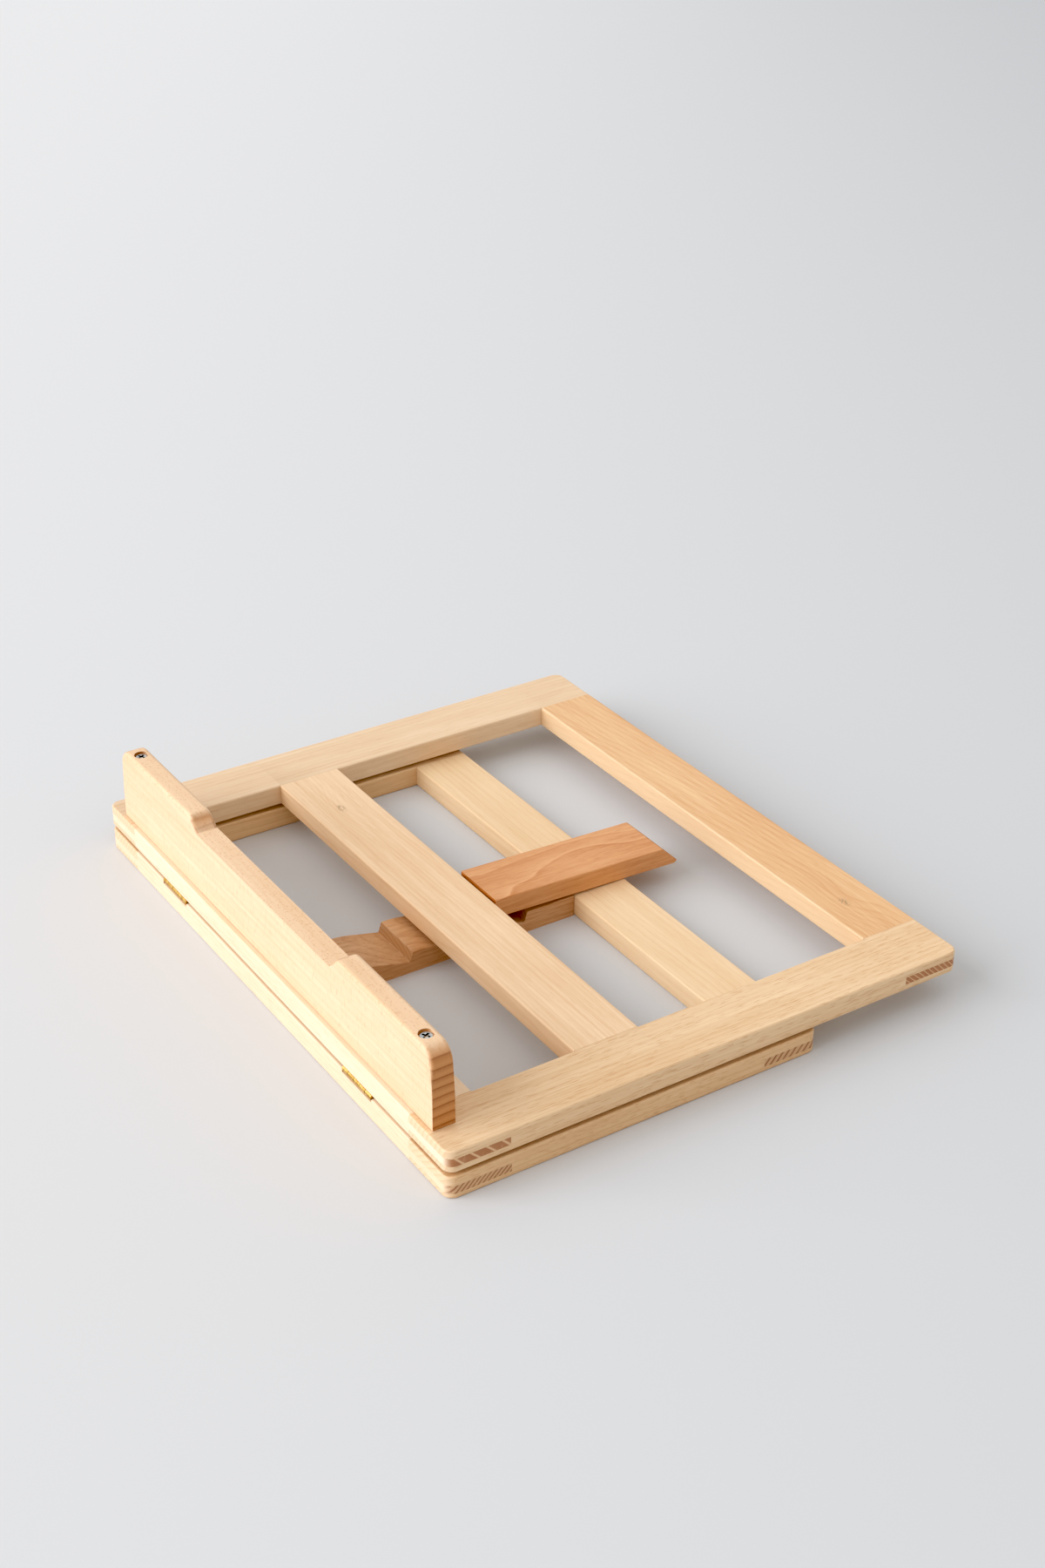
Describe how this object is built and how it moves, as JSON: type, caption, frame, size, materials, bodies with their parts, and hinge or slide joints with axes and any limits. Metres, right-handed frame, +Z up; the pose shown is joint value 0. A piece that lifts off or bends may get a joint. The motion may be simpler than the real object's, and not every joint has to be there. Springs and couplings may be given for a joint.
{
  "type": "folding table-top easel",
  "caption": "Folding beech table-top easel: hinged tilting frame with a lipped ledge, a hinged prop leg and a notched base bar, shown folded flat.",
  "frame": {"origin": "on the table, under the middle of the folded easel's bounding box", "axes": "+X along the hinges towards the right-hand stile as seen from the hinge side, +Y from the hinge side to the far edge, +Z up"},
  "size_m": [0.4, 0.3302, 0.0762],
  "materials": {
    "beech_pale": "satin oiled",
    "beech_straw": "satin oiled",
    "beech_tan": "satin oiled",
    "beech_brown": "satin oiled",
    "beech_russet": "satin oiled",
    "brass": "satin",
    "zinc": "zinc plated"
  },
  "bodies": {
    "base": {"base_left_stile": "beech_straw", "base_right_stile": "beech_straw", "base_hinge_rail": "beech_pale", "base_back_rail": "beech_pale", "notched_bar": "beech_brown", "left_hinge_base_plate": "brass", "right_hinge_base_plate": "brass", "left_hinge_base_screw_1": "zinc", "left_hinge_base_screw_2": "zinc", "right_hinge_base_screw_1": "zinc", "right_hinge_base_screw_2": "zinc"},
    "leaf": {"leaf_left_stile": "beech_pale", "leaf_right_stile": "beech_pale", "leaf_bottom_rail": "beech_pale", "leaf_middle_rail": "beech_pale", "leaf_top_rail": "beech_tan", "ledge": "beech_straw", "ledge_screw_left": "zinc", "ledge_screw_right": "zinc", "left_hinge_leaf_plate": "brass", "right_hinge_leaf_plate": "brass", "left_hinge_pin": "brass", "right_hinge_pin": "brass", "left_hinge_leaf_screw_1": "zinc", "left_hinge_leaf_screw_2": "zinc", "right_hinge_leaf_screw_1": "zinc", "right_hinge_leaf_screw_2": "zinc", "prop_hinge_rail_plate": "brass", "prop_hinge_pin": "brass", "prop_hinge_rail_screw_1": "zinc", "prop_hinge_rail_screw_2": "zinc"},
    "prop": {"prop_leg": "beech_russet", "prop_hinge_leg_plate": "brass", "prop_hinge_leg_screw_1": "zinc", "prop_hinge_leg_screw_2": "zinc"}
  },
  "joints": [
    {"name": "leaf_tilt", "type": "hinge", "parent": "base", "child": "leaf", "pos_m": [0, -0.1632, 0.0139], "axis": [1, 0, 0], "range_deg": [0, 62]},
    {"name": "prop_swing", "type": "hinge", "parent": "leaf", "child": "prop", "pos_m": [0.0015, -0.0255, 0.0159], "axis": [-1, 0, 0], "range_deg": [0, 125]}
  ],
  "couplings": [
    {"joint": "prop_swing", "follows": "leaf_tilt", "ratio": 2}
  ]
}
